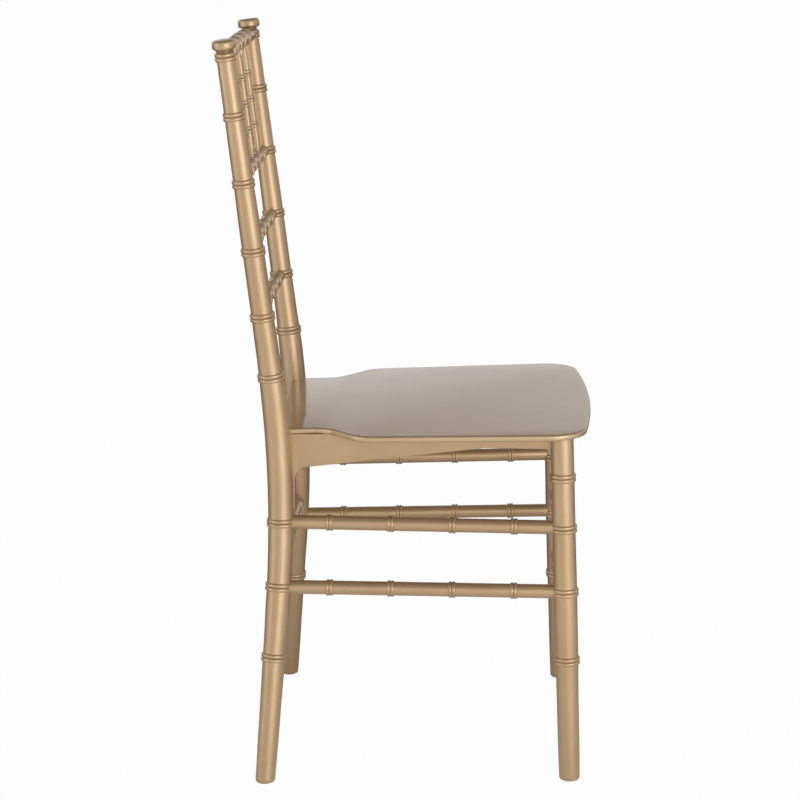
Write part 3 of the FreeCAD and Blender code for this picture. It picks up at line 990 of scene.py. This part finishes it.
@dataclass
class SeatBoard:
    """The flat shaped seat: a rear tongue between the posts, rounded shoulders and a bowed front edge."""

    lines: ChairLines
    rear_depth: float = 164.6
    neck_half: float = 142.5
    neck_depth: float = 102.6
    shoulder_half: float = 193.0
    shoulder_depth: float = 58.6
    front_half: float = 206.0
    corner_depth: float = -213.9
    front_depth: float = -229.4
    inner_radius: float = 34.0
    corner_radius: float = 38.0
    rim: float = 3.2
    corner_steps: int = 10
    rim_steps: int = 5
    front_cuts: int = 31
    crease: float = 32.0

    def round_corner(self, across: float, depth: float, radius: float, turn: float) -> None:
        """Rounds a pair of mirrored corners.

        Args:
            across: Distance of the corner from the chair's middle, in millimetres.
            depth: Distance of the corner along Y.
            radius: Radius of the rounding.
            turn: Angle by which the outline turns there, in degrees.
        """
        pick(Kind.VERTS, lambda v: abs(abs(v.co.x) - across * MM) < SAME_PLACE
             and abs(v.co.y - depth * MM) < SAME_PLACE)
        bpy.ops.mesh.bevel(offset=radius * math.tan(math.radians(turn) / 2) * MM, offset_type="OFFSET",
                           segments=self.corner_steps, affect="VERTICES")

    def outline(self) -> None:
        """Shapes a plane into the seat's outline: the tongue, then shoulders, then the front corners."""
        steps = ((self.shoulder_half, self.shoulder_depth), (self.front_half, self.corner_depth))
        half, depth = self.neck_half, self.neck_depth
        for next_half, next_depth in steps:
            pick(Kind.EDGES, lambda e: all(abs(v.co.y - depth * MM) < SAME_PLACE for v in e.verts))
            bpy.ops.mesh.extrude_region_move(
                TRANSFORM_OT_translate={"value": (0, (next_depth - depth) * MM, 0)})
            bpy.ops.transform.resize(value=(next_half / half, 1, 1),
                                     center_override=(0, next_depth * MM, 0))
            half, depth = next_half, next_depth
        bpy.ops.mesh.select_mode(type="FACE")
        bpy.ops.mesh.select_all(action="SELECT")
        bpy.ops.mesh.dissolve_faces()

    def bow_front(self) -> None:
        """Bows the front edge forward, most of all in its middle."""
        rise = (self.corner_depth - self.front_depth) * MM
        half = self.front_half * MM
        pick(Kind.EDGES, lambda e: all(abs(v.co.y - self.corner_depth * MM) < SAME_PLACE for v in e.verts))
        bpy.ops.mesh.subdivide(number_cuts=self.front_cuts)
        limit = (self.corner_depth + self.corner_radius) * MM
        mesh = bmesh.from_edit_mesh(bpy.context.edit_object.data)
        places = sorted({round(v.co.x, 6) for v in mesh.verts if v.co.y < limit})
        for place in places:
            pick(Kind.VERTS, lambda v: abs(v.co.x - place) < 2 * SAME_LINE and v.co.y < limit)
            bpy.ops.transform.translate(value=(0, -rise * max(1 - (place / half) ** 2, 0.0), 0))

    def build(self) -> list[Piece]:
        """Makes the seat board.

        Returns:
            The board alone.
        """
        deselect()
        middle = (self.rear_depth + self.neck_depth) / 2
        bpy.ops.mesh.primitive_plane_add(size=1.0, location=(0, middle * MM, 0))
        piece = newest("seat_board")
        piece.scale = (2 * self.neck_half * MM, (self.rear_depth - self.neck_depth) * MM, 1)
        settle(piece)
        bpy.ops.object.mode_set(mode="EDIT")
        self.outline()
        flare = math.degrees(math.atan2(self.shoulder_half - self.neck_half,
                                        self.neck_depth - self.shoulder_depth))
        side = math.degrees(math.atan2(self.front_half - self.shoulder_half,
                                       self.shoulder_depth - self.corner_depth))
        self.round_corner(self.neck_half, self.neck_depth, self.inner_radius, flare)
        self.round_corner(self.shoulder_half, self.shoulder_depth, self.inner_radius, flare - side)
        self.round_corner(self.front_half, self.corner_depth, self.corner_radius, 90 + side)
        self.bow_front()
        bpy.ops.mesh.select_mode(type="FACE")
        bpy.ops.mesh.select_all(action="SELECT")
        bpy.ops.mesh.extrude_region_move(
            TRANSFORM_OT_translate={"value": (0, 0, -self.lines.seat_thickness * MM)})
        bpy.ops.mesh.select_all(action="SELECT")
        bpy.ops.mesh.normals_make_consistent(inside=False)
        pick(Kind.EDGES, lambda e: len(e.link_faces) == 2
             and {round(abs(f.normal.z)) for f in e.link_faces} == {0, 1})
        bpy.ops.mesh.bevel(offset=self.rim * MM, offset_type="OFFSET", segments=self.rim_steps,
                           affect="EDGES")
        bpy.ops.object.mode_set(mode="OBJECT")
        tilt = Matrix.Rotation(math.radians(-self.lines.seat_tilt), 4, "X")
        settle(piece, Matrix.Translation((0, 0, self.lines.seat_height * MM)) @ tilt)
        smooth(piece, self.crease)
        return [Piece(piece, "seat_panel", "gold_seat")]


@dataclass
class Aprons:
    """Boards under the seat: one at each side, curved below and dying into the posts, and two across."""

    lines: ChairLines
    thickness: float = 12.0
    inset: float = 2.5
    rear_height: float = 391.5
    front_height: float = 420.5
    slope_end: float = -94.4
    rear_bracket: float = 14.5
    tail_height: float = 334.0
    tail_reach: float = 19.2
    tail_width: float = 9.0
    tail_round: float = 3.0
    bracket_gap: float = 0.3
    bracket_rise: float = 1.3
    end_in: float = 4.0
    top_in: float = 0.6
    front_bracket: float = 8.0
    front_drop: float = 11.0
    leg_radius: float = 14.2
    edge: float = 1.2
    edge_steps: int = 3
    edge_angle: float = 50.0
    rear_steps: int = 8
    front_steps: int = 6
    crease: float = 35.0

    def top_at(self, point: Vector) -> float:
        """Height of a board's top over a point, a little inside the seat."""
        tilt = math.radians(self.lines.seat_tilt)
        return self.lines.seat_height - math.tan(tilt) * point.y - self.lines.seat_thickness + self.top_in

    def lower_edge(self, length: float, slope_end: float) -> list[Station]:
        """Lists the stations of a side apron's lower edge: tail, bracket, slope and the leg's bracket.

        Args:
            length: Distance between the axes of the post and the leg.
            slope_end: Distance from the post's axis at which the slope ends.

        Returns:
            Pairs of distance from the post's axis and height, in order.
        """
        reach, arc, rise = self.tail_reach, self.rear_bracket, self.rear_bracket * self.bracket_rise
        found: list[Station] = [(reach - self.tail_width, self.tail_height),
                                (reach - self.tail_round, self.tail_height),
                                (reach, self.tail_height + self.tail_round)]
        for step in range(self.rear_steps + 1):
            angle = math.pi / 2 * step / self.rear_steps
            found.append((reach + self.bracket_gap + arc * (1 - math.cos(angle)),
                          self.rear_height - rise + rise * math.sin(angle)))
        found.append((slope_end, self.front_height))
        face = length - self.leg_radius
        arc = self.front_bracket
        for step in range(self.front_steps + 1):
            angle = math.pi / 2 * step / self.front_steps
            found.append((face - arc + arc * math.sin(angle),
                          self.front_height - arc + arc * math.cos(angle)))
        found.append((face + self.end_in, self.front_height - self.front_drop))
        return found

    def board(self, name: str, start: Vector, end: Vector, edge: list[Station]) -> bpy.types.Object:
        """Makes a board along a line by pushing its end edge from station to station.

        Args:
            name: Name of the piece.
            start: Where the outer face's line starts.
            end: Where it ends; the thickness lies to the left of the way from start to end.
            edge: Stations of the lower edge.

        Returns:
            The finished board in its place.
        """
        run = Vector((end.x - start.x, end.y - start.y, 0)).normalized()

        def top(distance: float) -> float:
            """Height of the board's top at a distance along it."""
            return self.top_at(start + run * distance)

        first, low = edge[0]
        high = top(first)
        deselect()
        bpy.ops.mesh.primitive_plane_add(size=1.0, rotation=(math.pi / 2, 0, 0))
        piece = newest(name)
        second, next_low = edge[1]
        piece.scale = ((second - first) * MM, (high - low) * MM, 1)
        piece.location = ((first + second) / 2 * MM, 0, (high + low) / 2 * MM)
        settle(piece)
        bpy.ops.object.mode_set(mode="EDIT")
        pick(Kind.VERTS, lambda v: v.co.x > (first + second) / 2 * MM and v.co.z > (high + low) / 2 * MM)
        bpy.ops.transform.translate(value=(0, 0, (top(second) - high) * MM))
        previous, previous_low = second, next_low
        for distance, height in edge[2:]:
            pick(Kind.EDGES, lambda e: all(abs(v.co.x - previous * MM) < SAME_LINE for v in e.verts))
            bpy.ops.mesh.extrude_region_move(
                TRANSFORM_OT_translate={"value": ((distance - previous) * MM, 0, 0)})
            middle = (top(distance) + min(height, previous_low)) / 2 * MM
            pick(Kind.VERTS, lambda v: abs(v.co.x - distance * MM) < SAME_LINE and v.co.z < middle
                 and abs(v.co.z - previous_low * MM) < SAME_PLACE)
            bpy.ops.transform.translate(value=(0, 0, (height - previous_low) * MM))
            pick(Kind.VERTS, lambda v: abs(v.co.x - distance * MM) < SAME_LINE
                 and abs(v.co.z - top(previous) * MM) < SAME_PLACE)
            bpy.ops.transform.translate(value=(0, 0, (top(distance) - top(previous)) * MM))
            previous, previous_low = distance, height
        bpy.ops.object.mode_set(mode="OBJECT")
        wall = piece.modifiers.new("thickness", "SOLIDIFY")
        wall.thickness = self.thickness * MM
        wall.offset = -1.0
        bpy.ops.object.modifier_apply(modifier=wall.name)
        eased = piece.modifiers.new("eased_edge", "BEVEL")
        eased.width = self.edge * MM
        eased.segments = self.edge_steps
        eased.limit_method = "ANGLE"
        eased.angle_limit = math.radians(self.edge_angle)
        bpy.ops.object.modifier_apply(modifier=eased.name)
        angle = math.atan2(run.y, run.x)
        place = Matrix.Translation((start.x * MM, start.y * MM, 0)) @ Matrix.Rotation(angle, 4, "Z")
        settle(piece, place)
        outward(piece)
        smooth(piece, self.crease)
        return piece

    def build(self) -> list[Piece]:
        """Makes the side aprons and the two cross aprons.

        Returns:
            The side aprons, then the front one and the rear one.
        """
        lines = self.lines
        rear = lines.post().point_at_height(self.front_height)
        front = lines.leg_point(self.front_height)
        start = Vector((rear.x + self.inset, rear.y, 0))
        end = Vector((front.x + self.inset, front.y, 0))
        length = (end - start).length
        slope_end = (start.y - self.slope_end) * length / (start.y - end.y)
        right = self.board("right_side_apron_board", start, end, self.lower_edge(length, slope_end))
        made = pair(right, "side_apron", self.crease)
        crossings = (("front_apron", lines.leg_point(self.front_height), self.front_height, -1),
                     ("rear_apron", lines.post().point_at_height(self.rear_height), self.rear_height, 1))
        for node, point, height, side in crossings:
            half = abs(point.x) - self.inset
            depth = point.y - side * self.inset
            begin = Vector((side * half, depth, 0))
            edge = [(self.end_in, height), (half, height), (2 * half - self.end_in, height)]
            piece = self.board(node + "_board", begin, Vector((-side * half, depth, 0)), edge)
            made.append(Piece(piece, node))
        return made


# The studio

@dataclass(frozen=True)
class Viewpoint:
    """The camera's place, turn and focal length, which give the photograph's framing."""

    place: tuple[float, float, float] = (-3066.1, -87.6, 1165.3)
    yaw: float = 1.9092
    pitch: float = 13.2453
    roll: float = -0.5290
    focal_pixels: float = 2441.255
    picture_pixels: float = 800.0
    sensor: float = 36.0
    farthest: float = 50.0

    def build(self) -> None:
        """Adds the camera and makes it the scene's camera."""
        yaw, pitch, roll = (math.radians(a) for a in (self.yaw, self.pitch, self.roll))
        ahead = Vector((math.cos(pitch) * math.cos(yaw), math.cos(pitch) * math.sin(yaw), -math.sin(pitch)))
        right = ahead.cross(Vector((0, 0, 1))).normalized()
        up = right.cross(ahead)
        across = right * math.cos(roll) + up * math.sin(roll)
        over = up * math.cos(roll) - right * math.sin(roll)
        turned = Matrix((across, over, -ahead)).transposed().to_4x4()
        data = bpy.data.cameras.new("camera")
        data.sensor_width = self.sensor
        data.lens = self.focal_pixels / self.picture_pixels * self.sensor
        data.clip_end = self.farthest
        camera = bpy.data.objects.new("camera", data)
        camera.matrix_world = Matrix.Translation(Vector(self.place) * MM) @ turned
        bpy.context.scene.collection.objects.link(camera)
        bpy.context.scene.camera = camera


@dataclass(frozen=True)
class Softbox:
    """A square lamp with a soft edge, aimed at the middle of the chair."""

    name: str
    place: tuple[float, float, float]
    width: float
    height: float
    power: float
    aim: tuple[float, float, float] = (0.0, 0.0, 0.45)

    def build(self) -> None:
        """Adds the lamp."""
        data = bpy.data.lights.new(self.name, "AREA")
        data.shape = "RECTANGLE"
        data.size = self.width
        data.size_y = self.height
        data.energy = self.power
        lamp = bpy.data.objects.new(self.name, data)
        lamp.location = self.place
        towards = Vector(self.aim) - Vector(self.place)
        lamp.rotation_euler = towards.to_track_quat("-Z", "Y").to_euler()
        bpy.context.scene.collection.objects.link(lamp)


@dataclass
class Studio:
    """A white floor and backdrop, soft lamps and a ceiling that is darker than the walls."""

    floor_size: float = 40.0
    floor_drop: float = 0.0005
    paper: str = "#F2F2F0"
    white_share: float = 0.76          # Of the floor's own light in what gloss and soft light see of it
    camera_share: float = 0.22         # What the camera sees on top of that; the rest keeps the shadow
    near_edge: tuple[float, float] = (-0.6, 1.1)    # X in metres and the floor's light on the camera's side
    far_edge: tuple[float, float] = (0.5, 0.08)     # And beyond the chair, low or it whitens the rods' edges
    wall: tuple[float, float] = (0.30, 0.90)        # Upward part of a direction, and the walls' light there
    ceiling: tuple[float, float] = (0.75, 0.22)     # And the ceiling's
    soft_share: float = 0.5            # Of the room's light for all rays but gloss, which sees it in full
    lamps: tuple[Softbox, ...] = (
        Softbox("softbox_front", (-2.9, -1.7, 0.6), 2.4, 2.0, 62.0),
        Softbox("softbox_fill", (-1.2, 2.9, 1.0), 1.8, 1.9, 18.0),
    )

    def floor_material(self) -> bpy.types.Material:
        """White paper that the camera sees as white, and that keeps a faint shadow.

        Returns:
            The floor's material.
        """
        material, tree = fresh_material("white_floor_paper")
        rays = add_node(tree, "ShaderNodeLightPath")
        paper = add_node(tree, "ShaderNodeBsdfDiffuse", {"Color": linear(self.paper)})
        share = add_node(tree, "ShaderNodeMath",
                         {"operation": "MULTIPLY_ADD", "1": self.camera_share, "2": self.white_share},
                         {"0": rays.outputs["Is Camera Ray"]})
        place = add_node(tree, "ShaderNodeTexCoord")
        split = add_node(tree, "ShaderNodeSeparateXYZ", links={"Vector": place.outputs["Object"]})
        falloff = add_node(tree, "ShaderNodeMapRange",
                           {"From Min": self.near_edge[0], "From Max": self.far_edge[0],
                            "To Min": self.near_edge[1], "To Max": self.far_edge[1]},
                           {"Value": split.outputs["X"]})
        level = add_node(tree, "ShaderNodeMath", {"operation": "MAXIMUM"},
                         {"0": falloff.outputs["Result"], "1": rays.outputs["Is Camera Ray"]})
        white = add_node(tree, "ShaderNodeEmission", {"Color": (1.0, 1.0, 1.0, 1.0)},
                         {"Strength": level.outputs["Value"]})
        seen = add_node(tree, "ShaderNodeMixShader", links={
            "0": share.outputs["Value"], "1": paper.outputs["BSDF"], "2": white.outputs["Emission"]})
        add_node(tree, "ShaderNodeOutputMaterial", links={"Surface": seen.outputs["Shader"]})
        return material

    def build_world(self) -> None:
        """Sets the surroundings: white to the camera, and to gloss white walls under a darker ceiling."""
        world = bpy.data.worlds.new("studio_room")
        world.use_nodes = True
        tree = world.node_tree
        tree.nodes.clear()
        rays = add_node(tree, "ShaderNodeLightPath")
        place = add_node(tree, "ShaderNodeTexCoord")
        split = add_node(tree, "ShaderNodeSeparateXYZ", links={"Vector": place.outputs["Generated"]})
        ramp = add_node(tree, "ShaderNodeValToRGB", links={"Fac": split.outputs["Z"]})
        for element, (height, light) in zip(ramp.color_ramp.elements, (self.wall, self.ceiling)):
            element.position = height
            element.color = (light, light, light, 1)
        level = add_node(tree, "ShaderNodeMath",
                         {"operation": "MULTIPLY_ADD", "1": 1 - self.soft_share, "2": self.soft_share},
                         {"0": rays.outputs["Is Glossy Ray"]})
        room = add_node(tree, "ShaderNodeBackground", links={
            "Color": ramp.outputs["Color"], "Strength": level.outputs["Value"]})
        white = add_node(tree, "ShaderNodeBackground", {"Color": (1.0, 1.0, 1.0, 1.0), "Strength": 1.0})
        seen = add_node(tree, "ShaderNodeMixShader", links={
            "0": rays.outputs["Is Camera Ray"], "1": room.outputs["Background"],
            "2": white.outputs["Background"]})
        add_node(tree, "ShaderNodeOutputWorld", links={"Surface": seen.outputs["Shader"]})
        bpy.context.scene.world = world

    def build(self) -> None:
        """Adds the floor, the lamps and the world."""
        deselect()
        bpy.ops.mesh.primitive_plane_add(size=self.floor_size, location=(0, 0, -self.floor_drop))
        floor = newest("studio_floor")
        floor.data.materials.append(self.floor_material())
        for lamp in self.lamps:
            lamp.build()
        self.build_world()
        bpy.context.scene.view_settings.view_transform = "Standard"


def grain_of(node: str) -> Grain:
    """Which way the marks of a node's finish run.

    Args:
        node: Name of the node.

    Returns:
        The grain of its material.
    """
    if "side_stretcher" in node or "side_apron" in node or node == "seat_panel":
        return Grain.FORE_AND_AFT
    if "rail" in node or "stretcher" in node or "apron" in node:
        return Grain.CROSSWISE
    return Grain.UPRIGHT


def main() -> None:
    """Builds the chair piece by piece, dresses it and sets up the studio."""
    logging.basicConfig(level=logging.INFO, format="%(message)s")
    lines = ChairLines()
    frame_gold = SatinGold()
    # The seat is the frame's gold, set paler here as a painted sheen that stands in for the white room's pale
    # reflection on it; its coat is also glossier, so it truly mirrors the white room
    seat_gold_with_painted_sheen = SatinGold(colour="#C3A887", dark="#B99C79", coat=1.0, coat_roughness=0.08)
    materials = {("gold_frame", grain): frame_gold.material(f"satin_gold_{grain.name.lower()}", grain)
                 for grain in Grain}
    materials[("gold_seat", Grain.FORE_AND_AFT)] = seat_gold_with_painted_sheen.material("satin_gold_seat", Grain.FORE_AND_AFT)
    assemblies = (RearPosts(lines), FrontLegs(lines), Stretchers(lines), BackRails(lines), Spindles(lines),
                  SeatBoard(lines), Aprons(lines))
    for assembly in assemblies:
        for piece in assembly.build():
            piece.body.data.materials.clear()
            piece.body.data.materials.append(materials[(piece.slot, grain_of(piece.node))])
            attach(piece.body, "root")
            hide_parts(piece.node)
            LOG.info("%s: %d faces", piece.body.name, len(piece.body.data.polygons))
    Studio().build()
    Viewpoint().build()


if __name__ == "__main__":
    main()
